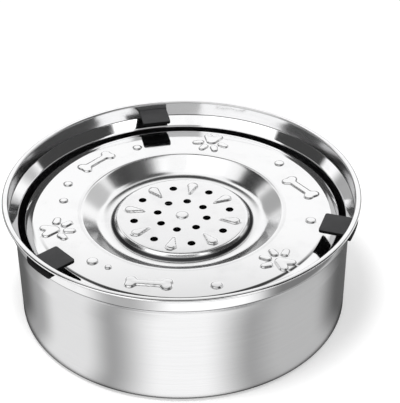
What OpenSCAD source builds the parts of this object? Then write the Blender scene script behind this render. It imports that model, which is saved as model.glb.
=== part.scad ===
// No-spill water bowl: a spun steel bowl with a rolled hem, a pressed steel
// plate that floats on a sealed trough, and three sliding clips that keep the
// plate in the bowl. Millimetres, +Z up, origin on the floor under the centre.

/* [Bowl] */
// Outside diameter over the rolled hem
rim_d = 240; // [200:1:300]
// Height from the floor to the top of the hem
bowl_h = 88; // [75:1:140]
// Thickness of the bowl's sheet
bowl_sheet = 0.6; // [0.4:0.1:0.9]
// Width of the hem, from the inside of the collar to the outer edge
hem_w = 4; // [3.6:0.2:7]
// Thickness of the folded hem
hem_t = 2; // [1.8:0.1:3]
// Depth of the collar, from the top of the hem to the shoulder
collar_h = 10.8; // [10:0.2:16]
// Inward step of the shoulder, from the collar to the neck
shoulder_w = 6; // [4:0.1:9]
// Fall of the shoulder from the collar to the neck
shoulder_fall = 6.4; // [3:0.1:9]
// How far the wall swells out again below the neck
neck_swell = 2.1; // [0.5:0.1:4]
// Height over which the wall swells out
neck_drop = 12; // [8:0.5:24]
// How far the wall draws in from there down to the base
wall_draft = 0.6; // [0:0.1:6]
// Outside radius of the corner between the wall and the base
base_corner = 3; // [1.5:0.5:14]
// Width of the flat foot between the base corner and the base panel
foot_w = 7; // [4:0.5:20]
// Height of the base panel above the foot
panel_rise = 1.8; // [1.2:0.1:5]

/* [Base ring] */
// Radial width of the anti-slip ring
ring_w = 10; // [7:0.5:25]
// How far the ring stands out below the foot
ring_proud = 0.8; // [0.4:0.1:3]
// Number of grip grooves in the ring's underside
ring_grooves = 3; // [1:1:4]
// Radius of a grip groove
groove_r = 0.6; // [0.3:0.1:0.9]

/* [Float plate] */
// Depth of the plate's top face below the top of the hem
plate_depth = 15.2; // [14:0.2:25]
// Running gap between the plate's edge and the bowl's neck
plate_gap = 3.8; // [2:0.1:9]
// Thickness of the plate's sheet
plate_sheet = 0.5; // [0.4:0.1:0.8]
// Width of the brow that slopes from the flat to the edge
edge_run = 6.7; // [5:0.1:10]
// Fall of the brow from the flat to the edge
edge_fall = 3; // [1.5:0.1:3.3]
// Outside radius of the plate's edge
edge_r = 1.2; // [0.8:0.1:1.6]
// Diameter of the dish at its lip
dish_d = 136; // [120:1:142]
// Depth of the dish from the top face to the valley
dish_h = 9.8; // [7:0.1:14]
// Diameter of the valley where the dish begins to rise
valley_d = 110; // [108:0.5:114]
// Diameter of the raised plateau at its upper edge
plateau_d = 88; // [80:1:90]
// Height of the plateau above the valley
plateau_h = 3.9; // [2:0.1:6]
// Outward run of the plateau's side
plateau_run = 4.3; // [3.6:0.1:5]

/* [Holes] */
// Number of water holes in each of the two rings
hole_count = 8; // [4:1:9]
// Diameter of a water hole
hole_d = 5.4; // [3:0.1:6]
// Radius of the outer ring of holes
hole_outer_r = 33; // [30:0.5:36]
// Radius of the inner ring of holes
hole_inner_r = 17; // [12:0.5:19]

/* [Relief] */
// Height of the pressed relief above the sheet
relief_h = 0.7; // [0.3:0.1:1.2]
// Turn of the relief round the plate
relief_turn = 5; // [0:1:359]
// Length of a bone
bone_len = 30; // [20:1:34]
// Radius of a bone's shaft
bone_shaft_r = 2.6; // [1.5:0.1:3]
// Radius of the four knobs of a bone
bone_knob_r = 3.8; // [2:0.1:4]
// Size factor of a paw
paw_size = 1; // [0.7:0.05:1.1]
// Radius of a large bubble
bubble_r = 4; // [2:0.1:5]
// Length of a drop on the plateau
drop_len = 13; // [8:0.5:14]
// Radius of a drop's round end
drop_r = 3.4; // [2:0.1:3.6]

/* [Float trough] */
// Wall of the moulded trough
pan_wall = 1.6; // [1.2:0.1:2.2]
// Depth of the trough below its flanges
pan_h = 23; // [12:0.2:26]
// Draft of the trough's two walls over their height
pan_draft = 1.2; // [0:0.1:3]
// Height of the seals between the trough and the plate
seal_h = 3.7; // [3.2:0.1:6]
// Width of the seals
seal_w = 2.4; // [1.5:0.1:4]

/* [Clips] */
// Width of a clip's tongue
tongue_w = 20; // [12:0.5:22]
// Thickness of a clip's tongue
tongue_t = 2.6; // [2:0.1:4]
// How far a tongue reaches over the plate
tongue_reach = 9.2; // [6:0.1:18]
// Depth of the tongue's top face below the top of the hem
tongue_depth = 4.6; // [3:0.1:5]
// Corner radius of the tongue's inner end
tongue_corner = 1.6; // [0.8:0.1:4]
// Bevel along the tongue's edges
tongue_bevel = 0.5; // [0.2:0.1:0.9]
// Depth of the stop lip under the tongue's inner end
lip_h = 0.6; // [0.3:0.1:1]
// Length of the stop lip
lip_len = 2.5; // [1:0.1:4]
// Width of a clip's outside head
head_w = 24.5; // [22.5:0.5:40]
// Thickness of the head outside the collar
head_t = 2.3; // [1.5:0.1:4]
// Height of the head
head_h = 6.7; // [5.6:0.1:8]
// Bevel along the head's upper edge
head_bevel = 1.2; // [0.4:0.1:1.4]
// Corner radius at the head's ends
head_corner = 2.5; // [0.5:0.1:2.7]
// Clearance round a clip where it passes through and sits on the bowl
clip_clear = 0.3; // [0.2:0.05:0.6]

/* [Hidden] */
$fn = 128;

steel = [0.78, 0.79, 0.80];
mirror_steel = [0.90, 0.91, 0.92];
black = [0.10, 0.10, 0.11];
rubber = [0.16, 0.16, 0.17];
milky = [0.86, 0.88, 0.90];
// Turn between two points of a bend
arc_step = 7.5;
// How far a neck between two circles keeps inside their tangents
neck_inset = 0.02;

// Middle line of the bowl's sheet
rim_r = rim_d / 2;
bowl_half = bowl_sheet / 2;
collar_ri = rim_r - hem_w;
collar_ro = collar_ri + bowl_sheet;
collar_mid = collar_ri + bowl_half;
neck_mid = collar_mid - shoulder_w;
wall_mid = neck_mid + neck_swell;
wall_foot = wall_mid - wall_draft;
shoulder_top = bowl_h - collar_h;
neck_z = shoulder_top - shoulder_fall;
foot_mid_z = ring_proud + bowl_half;
panel_mid_z = foot_mid_z + panel_rise;
panel_r = wall_foot - base_corner - foot_w;
panel_under = panel_mid_z - bowl_half;
hem_bend = (hem_t - bowl_sheet) / 2;
hem_under = bowl_h - hem_t;
hem_return = collar_ro + bowl_sheet;
mouth_bend = 0.9;
shoulder_bend = 1.5;
neck_bend = 2.5;
wall_bend = 15;
panel_bend = 1.2;

// Anti-slip ring, seated in the corner of the base panel
ring_clear = 0.3;
ring_ro = panel_r - panel_rise - panel_bend - ring_clear;
ring_ri = ring_ro - ring_w;
ring_pitch = ring_w / (ring_grooves + 1);

// Middle line of the plate's sheet
plate_half = plate_sheet / 2;
plate_r = neck_mid - bowl_half - plate_gap;
plate_top = bowl_h - plate_depth;
plate_under = plate_top - plate_sheet;
plate_mid = plate_top - plate_half;
valley_mid = plate_mid - dish_h;
plateau_mid = valley_mid + plateau_h;
crimp_mid = plate_under - seal_h - pan_wall - plate_half;
crimp_len = 3.4;
crimp_bend = 1.2;
plateau_bend = 2.4;
valley_bend = 3;
sweep_bend = 12;
lip_bend = 2.5;
brow_bend = 10;
flat_r = plate_r - edge_run;
brow_turn = atan2(edge_fall, edge_run - plate_half);

// Relief on the annulus stands halfway between the dish and the brow
relief_r = (dish_d / 2 + flat_r) / 2;
relief_pairs = 3;
relief_step = 360 / relief_pairs;
// Each bubble: angle from the first bone, offset from the relief circle, share of the large radius
bubbles = [[26, 3, 0.95], [95, -1, 0.9], [140, -1, 0.95], [154, -5, 0.8],
           [209, -4, 1.1], [217, -6, 0.7], [270, 1, 1], [337, 2, 1]];

// Trough and seals under the plate's annulus
pan_top = plate_under - seal_h;
pan_mid_z = pan_top - pan_wall / 2;
pan_floor_mid = pan_mid_z - pan_h;
pan_bend = 1;
pan_rim_h = 3;
seat_margin = 0.3;
lip_room = 2.5;
pan_flange_ro = plate_r - plate_half - crimp_bend;
outer_seal_ro = flat_r - brow_bend * tan(brow_turn / 2) - seat_margin;
inner_seal_ri = dish_d / 2 + lip_bend + lip_room;
pan_ro = outer_seal_ro - seal_w - seat_margin - pan_bend;
pan_ri = inner_seal_ri + seal_w / 2;
// Corner of the trough's floor, smaller where the trough is narrow
pan_corner = min(4, 0.45 * (pan_ro - pan_ri - 2 * pan_draft));

// Clips, at rest with the tongue over the plate
clip_angles = [90, 210, 330];
tongue_top = bowl_h - tongue_depth;
tongue_ri = plate_r - tongue_reach;
head_ri = collar_ro + clip_clear;
head_ro = head_ri + head_t;
head_top = hem_under - clip_clear;

function unit(v) = v / norm(v);
function flat(p) = [p[0], p[1]];
function left(d) = [-d[1], d[0]];
function turned(v, a) = [v[0] * cos(a) - v[1] * sin(a), v[0] * sin(a) + v[1] * cos(a)];

// Points of one bend of a sheet, on the side that lies off to the left of its middle line
function bend_points(a, b, c, r, off) =
    let (d1 = unit(b - a),
         d2 = unit(c - b),
         cross = d1[0] * d2[1] - d1[1] * d2[0],
         angle = atan2(cross, d1 * d2),
         hand = sign(angle),
         middle = b - d1 * r * tan(abs(angle) / 2) + left(d1) * hand * r,
         spoke = -left(d1) * hand * (r - hand * off),
         steps = ceil(abs(angle) / arc_step))
    [for (k = [0 : steps]) middle + turned(spoke, angle * k / steps)];

// One side of a sheet along points [r, z, bend radius]
function sheet_side(p, off) =
    let (last = len(p) - 1)
    concat(
        [flat(p[0]) + left(unit(flat(p[1]) - flat(p[0]))) * off],
        [for (i = [1 : last - 1])
            each bend_points(flat(p[i - 1]), flat(p[i]), flat(p[i + 1]), p[i][2], off)],
        [flat(p[last]) + left(unit(flat(p[last]) - flat(p[last - 1]))) * off]
    );

// Section of a sheet of thickness t along its middle line
module sheet_section(p, t) {
    under = sheet_side(p, -t / 2);
    polygon(concat(sheet_side(p, t / 2), [for (i = [len(under) - 1 : -1 : 0]) under[i]]));
}

// Outline round two circles, joined by a neck just inside their common tangents
module link(a, ra, b, rb) {
    d = b - a;
    base = atan2(d[1], d[0]);
    open = acos((ra - rb) / norm(d));
    translate(a) circle(ra);
    translate(b) circle(rb);
    polygon([for (q = [[a, ra, 1], [b, rb, 1], [b, rb, -1], [a, ra, -1]])
        q[0] + (q[1] - neck_inset) * [cos(base + q[2] * open), sin(base + q[2] * open)]]);
}

// Bone outline, lying across the radius
module bone() {
    knob_x = bone_len / 2 - bone_knob_r;
    knob_y = bone_knob_r * 0.8;
    link([0, -knob_x], bone_shaft_r, [0, knob_x], bone_shaft_r);
    for (x = [-1, 1], y = [-1, 1])
        translate([x * knob_y, y * (knob_x + 0.4 * bone_knob_r)]) circle(bone_knob_r);
}

// Paw outline: a three-lobed pad towards the edge and four toes towards the dish
module paw() {
    lobe_r = 3 * paw_size;
    heel_r = 4.2 * paw_size;
    toe_r = 2.7 * paw_size;
    left_lobe = [9.6, 4.2] * paw_size;
    right_lobe = [9.6, -4.2] * paw_size;
    heel = [3.6, 0] * paw_size;
    link(left_lobe, lobe_r, heel, heel_r);
    link(right_lobe, lobe_r, heel, heel_r);
    polygon([left_lobe, right_lobe, heel]);
    for (toe = [[-66, 9.2], [-22, 9.8], [22, 9.8], [66, 9.2]]) {
        way = [-cos(toe[0]), sin(toe[0])];
        link(heel + way * toe[1] * paw_size, toe_r,
             heel + way * (toe[1] + 3.6) * paw_size, toe_r * 0.85);
    }
}

// Drop outline with its point towards the centre
module drop() {
    tip_r = 0.8;
    link([drop_len / 2 - drop_r, 0], drop_r,
         [-drop_len / 2 + tip_r, 0], tip_r);
}

// All outlines on the annulus
module annulus_relief() {
    for (i = [0 : relief_pairs - 1]) {
        rotate(relief_turn + i * relief_step) translate([relief_r, 0]) bone();
        rotate(relief_turn + (i + 0.5) * relief_step) translate([relief_r, 0]) paw();
    }
    for (b = bubbles)
        rotate(relief_turn + b[0]) translate([relief_r + b[1], 0]) circle(bubble_r * b[2]);
}

// All outlines on the plateau
module plateau_relief() {
    circle(bubble_r);
    for (i = [0 : hole_count - 1])
        rotate((i + 0.5) * 360 / hole_count) translate([hole_outer_r, 0]) drop();
}

module bowl_shell() {
    slot_w = tongue_w + 2 * clip_clear;
    slot_h = tongue_t + 2 * clip_clear;
    color(steel) difference() {
        rotate_extrude() sheet_section([
            [0, panel_mid_z, 0],
            [panel_r - panel_rise, panel_mid_z, panel_bend],
            [panel_r, foot_mid_z, panel_bend],
            [wall_foot, foot_mid_z, base_corner - bowl_half],
            [wall_mid, neck_z - neck_drop, wall_bend],
            [neck_mid, neck_z, neck_bend],
            [collar_mid, shoulder_top, shoulder_bend],
            [collar_mid, bowl_h - bowl_half, mouth_bend],
            [rim_r - bowl_half, bowl_h - bowl_half, hem_bend],
            [rim_r - bowl_half, hem_under + bowl_half, hem_bend],
            [hem_return, hem_under + bowl_half, 0]
        ], bowl_sheet);
        for (a = clip_angles)
            rotate(a) translate([collar_mid - hem_w / 2, -slot_w / 2, tongue_top + clip_clear - slot_h])
                cube([hem_w, slot_w, slot_h]);
    }
}

module base_ring() {
    color(rubber) rotate_extrude() difference() {
        translate([ring_ri, 0]) square([ring_w, panel_under]);
        for (i = [1 : ring_grooves])
            translate([ring_ri + i * ring_pitch, 0]) circle(groove_r);
    }
}

module float_plate() {
    color(mirror_steel) difference() {
        union() {
            rotate_extrude() sheet_section([
                [0, plateau_mid, 0],
                [plateau_d / 2, plateau_mid, plateau_bend],
                [plateau_d / 2 + plateau_run, valley_mid, valley_bend],
                [valley_d / 2, valley_mid, sweep_bend],
                [dish_d / 2, plate_mid, lip_bend],
                [flat_r, plate_mid, brow_bend],
                [plate_r - plate_half, plate_mid - edge_fall, edge_r - plate_half],
                [plate_r - plate_half, crimp_mid, crimp_bend],
                [plate_r - plate_half - crimp_len, crimp_mid, 0]
            ], plate_sheet);
            translate([0, 0, plate_mid]) linear_extrude(plate_half + relief_h) annulus_relief();
            translate([0, 0, plateau_mid]) linear_extrude(plate_half + relief_h) plateau_relief();
        }
        for (i = [0 : hole_count - 1]) {
            rotate(i * 360 / hole_count) translate([hole_outer_r, 0, plateau_mid - 2 * plate_sheet])
                cylinder(d = hole_d, h = 4 * plate_sheet);
            rotate((i + 0.5) * 360 / hole_count) translate([hole_inner_r, 0, plateau_mid - 2 * plate_sheet])
                cylinder(d = hole_d, h = 4 * plate_sheet);
        }
    }
}

// Trough: a flange in the plate's crimp outside, and an upright rim under the seal inside
module float_pan() {
    color(milky) rotate_extrude() sheet_section([
        [pan_flange_ro, pan_mid_z, 0],
        [pan_ro, pan_mid_z, pan_bend],
        [pan_ro - pan_draft, pan_floor_mid, pan_corner],
        [pan_ri + pan_draft, pan_floor_mid, pan_corner],
        [pan_ri, pan_top - pan_rim_h, pan_bend],
        [pan_ri, pan_top, 0]
    ], pan_wall);
}

// Flat seal ring that fills the height between the trough's flange and the plate
module seal(inner_r) {
    color(rubber) rotate_extrude() translate([inner_r, pan_top]) square([seal_w, seal_h]);
}

module outer_seal() {
    seal(outer_seal_ro - seal_w);
}

module inner_seal() {
    seal(inner_seal_ri);
}

// Rectangle with its four corners rounded
module round_rect(size, r) {
    translate([r, 0]) square([size[0] - 2 * r, size[1]]);
    translate([0, r]) square([size[0], size[1] - 2 * r]);
    for (x = [r, size[0] - r], y = [r, size[1] - r])
        translate([x, y]) circle(r);
}

// Rectangle with its four corners bevelled
module bevel_rect(size, b) {
    polygon([[b, 0], [size[0] - b, 0], [size[0], b], [size[0], size[1] - b],
             [size[0] - b, size[1]], [b, size[1]], [0, size[1] - b], [0, b]]);
}

// A clip: a tongue through the collar, a stop lip at its end and a curved head outside
module clip(angle) {
    tongue_len = head_ri + head_t / 2 - tongue_ri;
    color(black) rotate(angle) {
        translate([tongue_ri, -tongue_w / 2, tongue_top - tongue_t]) intersection() {
            linear_extrude(tongue_t) round_rect([tongue_len + tongue_corner, tongue_w], tongue_corner);
            rotate([90, 0, 90]) linear_extrude(tongue_len) bevel_rect([tongue_w, tongue_t], tongue_bevel);
        }
        translate([tongue_ri + tongue_corner, -tongue_w / 2 + tongue_corner, tongue_top - tongue_t - lip_h])
            cube([lip_len, tongue_w - 2 * tongue_corner, lip_h + tongue_t / 2]);
        intersection() {
            rotate_extrude() polygon([
                [head_ri, head_top - head_h], [head_ro, head_top - head_h],
                [head_ro, head_top - head_bevel], [head_ro - head_bevel, head_top], [head_ri, head_top]
            ]);
            translate([0, -head_w / 2, head_top - head_h]) rotate([90, 0, 90])
                linear_extrude(head_ro + head_t) round_rect([head_w, head_h], head_corner);
        }
    }
}

module clip_back() {
    clip(clip_angles[0]);
}

module clip_left() {
    clip(clip_angles[1]);
}

module clip_right() {
    clip(clip_angles[2]);
}

bowl_shell();
base_ring();
float_plate();
float_pan();
outer_seal();
inner_seal();
clip_back();
clip_left();
clip_right();
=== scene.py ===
import bpy
import bmesh
import numpy as np
from mathutils import Matrix, Vector


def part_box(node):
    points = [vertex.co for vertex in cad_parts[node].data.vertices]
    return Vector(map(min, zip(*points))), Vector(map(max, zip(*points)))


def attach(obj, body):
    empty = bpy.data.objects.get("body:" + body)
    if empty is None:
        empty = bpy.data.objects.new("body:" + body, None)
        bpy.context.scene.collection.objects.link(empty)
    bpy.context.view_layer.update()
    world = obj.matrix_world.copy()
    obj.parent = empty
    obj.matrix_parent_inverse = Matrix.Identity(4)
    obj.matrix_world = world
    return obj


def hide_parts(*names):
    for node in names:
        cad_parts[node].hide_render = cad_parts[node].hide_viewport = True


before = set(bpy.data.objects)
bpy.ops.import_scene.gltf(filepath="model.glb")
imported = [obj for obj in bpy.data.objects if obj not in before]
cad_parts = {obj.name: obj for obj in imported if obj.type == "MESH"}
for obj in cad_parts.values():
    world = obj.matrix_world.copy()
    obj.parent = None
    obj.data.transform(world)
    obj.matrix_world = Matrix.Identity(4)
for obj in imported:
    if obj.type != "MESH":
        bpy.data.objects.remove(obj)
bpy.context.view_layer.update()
mm = 0.001
scene = bpy.context.scene
scene.view_settings.view_transform = "Standard"
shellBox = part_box("bowl_shell")
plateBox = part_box("float_plate")
rimRadius = round(float(shellBox[1][0]) / mm, 2)
bowlHigh = round(float(shellBox[1][2]) / mm, 2)
plateRadius = round(float(plateBox[1][0]) / mm, 2)
print("frame in, rim radius", rimRadius, "mm, height", bowlHigh, "mm")


# helpers for grids and meshes, all profiles in millimetres

def unit(v):
    return v / np.hypot(v[0], v[1])


def evenTurns(count):
    # column angles in even steps once round
    return np.linspace(0, 2 * np.pi, count, endpoint=False)


def bendPath(corners, arcStep, runStep):
    # middle line of a bent sheet: straight runs joined by arcs tangent to both,
    # each corner is radius, height and bend radius, arcStep is in degrees and runStep in mm
    spots = np.array([c[:2] for c in corners], float)
    parts = [spots[:1]]
    for i in range(1, len(spots) - 1):
        u = unit(spots[i] - spots[i - 1])
        v = unit(spots[i + 1] - spots[i])
        turn = np.arctan2(u[0] * v[1] - u[1] * v[0], u @ v)
        bend = corners[i][2]
        reach = bend * np.tan(abs(turn) / 2)
        start = spots[i] - u * reach
        centre = start + np.sign(turn) * bend * np.array([-u[1], u[0]])
        a = np.linspace(0, turn, max(3, int(np.ceil(abs(np.degrees(turn)) / arcStep)) + 1))
        s = start - centre
        arcR = s[0] * np.cos(a) - s[1] * np.sin(a)
        arcZ = s[0] * np.sin(a) + s[1] * np.cos(a)
        parts.append(centre + np.stack([arcR, arcZ], 1))
    parts.append(spots[-1:])
    raw = np.concatenate(parts)
    counts = np.maximum(1, np.ceil(np.hypot(*np.diff(raw, axis=0).T) / runStep)).astype(int)
    runs = [np.linspace(raw[i], raw[i + 1], n, endpoint=False) for i, n in enumerate(counts)]
    return np.concatenate(runs + [raw[-1:]])


def revolve(profile, columns):
    # each profile point (r, z) goes to (r cos a, r sin a, z) at every column angle a
    r = profile[:, 0][:, None]
    z = profile[:, 1][:, None]
    return np.stack([r * np.cos(columns), r * np.sin(columns), z + 0 * columns], 2)


def gridQuads(rows, cols, wrapRows=False):
    # quads of a grid whose columns close round
    i = np.arange(rows if wrapRows else rows - 1)[:, None]
    j = np.arange(cols)[None, :]
    up = (i + 1) % rows
    nxt = (j + 1) % cols
    return np.stack([i * cols + j, i * cols + nxt, up * cols + nxt, up * cols + j], 2)


def meshObject(name, points, quads, mergeWithin=0.002):
    # arrays of points in mm and quads become a merged mesh in metres
    mesh = bpy.data.meshes.new(name)
    mesh.from_pydata((points.reshape(-1, 3) * mm).tolist(), [], quads.reshape(-1, 4).tolist())
    work = bmesh.new()
    work.from_mesh(mesh)
    bmesh.ops.remove_doubles(work, verts=work.verts, dist=mergeWithin * mm)
    work.to_mesh(mesh)
    work.free()
    obj = bpy.data.objects.new(name, mesh)
    scene.collection.objects.link(obj)
    return obj


def turnOut(obj):
    # closed shell: every face looks outwards
    work = bmesh.new()
    work.from_mesh(obj.data)
    bmesh.ops.recalc_face_normals(work, faces=work.faces)
    work.to_mesh(obj.data)
    work.free()


def smooth(obj, sharp):
    # soft shading, with hard lines only at edges that turn more than sharp degrees
    obj.data.shade_smooth()
    obj.data.set_sharp_from_angle(angle=np.radians(sharp))


def thicken(obj, wall, sharp):
    # the sheet gets its wall on both sides of the middle line, and the result is kept as plain mesh
    mod = obj.modifiers.new("wall", "SOLIDIFY")
    mod.thickness = wall * mm
    mod.offset = 0
    mod.use_even_offset = True
    graph = bpy.context.evaluated_depsgraph_get()
    solid = bpy.data.meshes.new_from_object(obj.evaluated_get(graph))
    obj.modifiers.clear()
    flat = obj.data
    obj.data = solid
    bpy.data.meshes.remove(flat)
    solid.name = obj.name
    turnOut(obj)
    smooth(obj, sharp)


def faceTable(obj):
    # centre and normal of every face, as arrays in mm
    mesh = obj.data
    centres = np.empty(len(mesh.polygons) * 3)
    normals = np.empty(len(mesh.polygons) * 3)
    mesh.polygons.foreach_get("center", centres)
    mesh.polygons.foreach_get("normal", normals)
    return centres.reshape(-1, 3) / mm, normals.reshape(-1, 3)


def place(obj, body, slotName, materials, *nodes):
    # piece rides its body, stands for its CAD nodes and takes its finish
    obj.data.materials.clear()
    for m in materials:
        obj.data.materials.append(m)
    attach(obj, body)
    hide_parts(*nodes)
    print("piece", obj.name, len(obj.data.polygons), "faces")


# shader helpers: short ways to add, set and wire nodes in one tree

class NodeDesk:
    def __init__(self, tree):
        self.tree = tree

    def add(self, kind, **values):
        node = self.tree.nodes.new(kind)
        for key, value in values.items():
            setattr(node, key, value)
        return node

    def wire(self, source, target):
        self.tree.links.new(source, target)

    def feed(self, socket, value):
        if isinstance(value, bpy.types.NodeSocket):
            self.wire(value, socket)
        else:
            socket.default_value = value

    def math(self, operation, a, b=0.0):
        node = self.add("ShaderNodeMath", operation=operation)
        self.feed(node.inputs[0], a)
        self.feed(node.inputs[1], b)
        return node.outputs[0]

    def hypot(self, a, b):
        # root of the sum of both squares
        squares = self.math("ADD", self.math("POWER", a, 2.0), self.math("POWER", b, 2.0))
        return self.math("SQRT", squares)

    def ease(self, value, low, high, toLow=0.0, toHigh=1.0):
        # smooth step from low to high
        node = self.add("ShaderNodeMapRange", interpolation_type="SMOOTHSTEP")
        self.feed(node.inputs["Value"], value)
        node.inputs["From Min"].default_value = low
        node.inputs["From Max"].default_value = high
        node.inputs["To Min"].default_value = toLow
        node.inputs["To Max"].default_value = toHigh
        return node.outputs["Result"]

    def window(self, value, centre, half, soft):
        # 1 within half of the centre, falling to 0 over soft
        away = self.math("ABSOLUTE", self.math("SUBTRACT", value, centre))
        return self.ease(away, half, half + soft, 1.0, 0.0)

    def arc(self, turn, centre, half, soft):
        # the same round a circle, in degrees
        node = self.add("ShaderNodeMath", operation="WRAP")
        self.feed(node.inputs[0], self.math("SUBTRACT", turn, centre))
        node.inputs[1].default_value = 180.0
        node.inputs[2].default_value = -180.0
        return self.ease(self.math("ABSOLUTE", node.outputs[0]), half, half + soft, 1.0, 0.0)

    def blend(self, mask, a, b):
        node = self.add("ShaderNodeMix", data_type="FLOAT")
        self.feed(node.inputs["Factor"], mask)
        self.feed(node.inputs["A"], a)
        self.feed(node.inputs["B"], b)
        return node.outputs["Result"]

    def tint(self, mask, a, b):
        # sockets 6 and 7 are the node's two colours, output 2 its mixed colour
        node = self.add("ShaderNodeMix", data_type="RGBA")
        self.feed(node.inputs["Factor"], mask)
        self.feed(node.inputs[6], a)
        self.feed(node.inputs[7], b)
        return node.outputs[2]

    def noise(self, vector, scale, detail=2.0, rough=0.5):
        node = self.add("ShaderNodeTexNoise")
        self.wire(vector, node.inputs["Vector"])
        self.feed(node.inputs["Scale"], scale)
        node.inputs["Detail"].default_value = detail
        node.inputs["Roughness"].default_value = rough
        return node.outputs["Fac"]

    def stretch(self, vector, scale):
        node = self.add("ShaderNodeVectorMath", operation="MULTIPLY")
        self.wire(vector, node.inputs[0])
        node.inputs[1].default_value = scale
        return node.outputs["Vector"]

    def objectPlace(self):
        return self.add("ShaderNodeTexCoord").outputs["Object"]


def newGroup(name, inputs, outputs):
    tree = bpy.data.node_groups.new(name, "ShaderNodeTree")
    for label, kind, value in inputs:
        socket = tree.interface.new_socket(label, in_out="INPUT", socket_type=kind)
        if value is not None:
            socket.default_value = value
    for label, kind in outputs:
        tree.interface.new_socket(label, in_out="OUTPUT", socket_type=kind)
    desk = NodeDesk(tree)
    return desk, desk.add("NodeGroupInput").outputs, desk.add("NodeGroupOutput").inputs


def useGroup(desk, tree, **values):
    node = desk.add("ShaderNodeGroup")
    node.node_tree = tree
    for key, value in values.items():
        desk.feed(node.inputs[key], value)
    return node.outputs


def newMaterial(name, **sockets):
    mat = bpy.data.materials.new(name)
    mat.use_nodes = True
    desk = NodeDesk(mat.node_tree)
    shader = mat.node_tree.nodes["Principled BSDF"]
    for key, value in sockets.items():
        shader.inputs[key.replace("_", " ")].default_value = value
    return mat, desk, shader.inputs


def bump(desk, height, strength, distance):
    node = desk.add("ShaderNodeBump")
    node.inputs["Strength"].default_value = strength
    node.inputs["Distance"].default_value = distance
    desk.wire(height, node.inputs["Height"])
    return node.outputs["Normal"]


floatKind = "NodeSocketFloat"
vectorKind = "NodeSocketVector"

# hair lines round the wall: noise drawn out along the turn and packed tight in height
hair = dict(fine=(22, 22, 5200), broad=(7, 7, 900), fineShare=0.85, lineFrom=0.36, lineTo=0.64)
desk, gin, gout = newGroup("hairLines", [("Place", vectorKind, None)],
                           [("Line", floatKind), ("Height", floatKind)])
fineLine = desk.noise(desk.stretch(gin["Place"], hair["fine"]), 1.0, detail=3.0, rough=0.65)
broadLine = desk.noise(desk.stretch(gin["Place"], hair["broad"]), 1.0)
both = desk.math("ADD", desk.math("MULTIPLY", fineLine, hair["fineShare"]),
                 desk.math("MULTIPLY", broadLine, 1 - hair["fineShare"]))
desk.wire(desk.ease(both, hair["lineFrom"], hair["lineTo"]), gout["Line"])
desk.wire(fineLine, gout["Height"])
hairLines = desk.tree

# handling marks: soft smears a thumb wide with a finer mottle in them
handling = dict(mottleFiner=14.0, markFrom=0.46, markTo=0.70)
desk, gin, gout = newGroup("handlingMarks", [("Place", vectorKind, None), ("Smear", floatKind, 70.0)],
                           [("Mark", floatKind), ("Mottle", floatKind)])
smear = desk.noise(gin["Place"], gin["Smear"], detail=3.0, rough=0.55)
mottle = desk.noise(gin["Place"], desk.math("MULTIPLY", gin["Smear"], handling["mottleFiner"]))
desk.wire(desk.ease(smear, handling["markFrom"], handling["markTo"]), gout["Mark"])
desk.wire(mottle, gout["Mottle"])
handlingMarks = desk.tree

# fold shade: a thin dark line painted where the sheet turns, painted shade in the creases and a painted dark
# reflection on the outer edges, by the distance to a ring of that radius and height
foldCore = 0.3
foldInputs = [("Place", vectorKind, None), ("Radius", floatKind, 0.1), ("Rise", floatKind, 0.05),
              ("Wide", floatKind, 0.0005)]
desk, gin, gout = newGroup("foldShadeLine", foldInputs, [("Line", floatKind)])
axes = desk.add("ShaderNodeSeparateXYZ")
desk.wire(gin["Place"], axes.inputs[0])
across = desk.hypot(axes.outputs["X"], axes.outputs["Y"])
away = desk.hypot(desk.math("SUBTRACT", across, gin["Radius"]),
                  desk.math("SUBTRACT", axes.outputs["Z"], gin["Rise"]))
desk.wire(desk.ease(desk.math("DIVIDE", away, gin["Wide"]), foldCore, 1.0, 1.0, 0.0), gout["Line"])
foldShadeLine = desk.tree

# moulded grain: fine stipple for the bump and a slow drift of tone
driftScale = 120.0
desk, gin, gout = newGroup("mouldGrain", [("Place", vectorKind, None), ("Grain", floatKind, 2600.0)],
                           [("Stipple", floatKind), ("Drift", floatKind)])
desk.wire(desk.noise(gin["Place"], gin["Grain"]), gout["Stipple"])
desk.wire(desk.noise(gin["Place"], driftScale), gout["Drift"])
mouldGrain = desk.tree


def foldShadeAt(desk, where, folds):
    # all painted fold shade lines of a finish in one mask, each fold is radius, height and width in mm
    mask = 0.0
    for radius, high, wide in folds:
        line = useGroup(desk, foldShadeLine, Place=where, Radius=radius * mm, Rise=high * mm, Wide=wide * mm)
        mask = desk.math("MAXIMUM", mask, line["Line"])
    return mask


def cool(tone, blue):
    # a grey with its own blue, as a colour
    return (tone, tone, blue, 1)


# the fold tone in each of these is the colour of the painted shade along the folds
brushing = dict(foldShadeTone=cool(0.06, 0.062), smear=45.0, markDull=0.01, bump=0.05, deep=0.00006)
polish = dict(foldShadeTone=cool(0.05, 0.052), foldShadeRough=0.4, breakScale=130.0, breakFrom=0.40, breakTo=0.60,
              breakLeast=0.30, breakMost=0.95, bump=0.02, deep=0.00004)
mouldBump = 0.35


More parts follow.
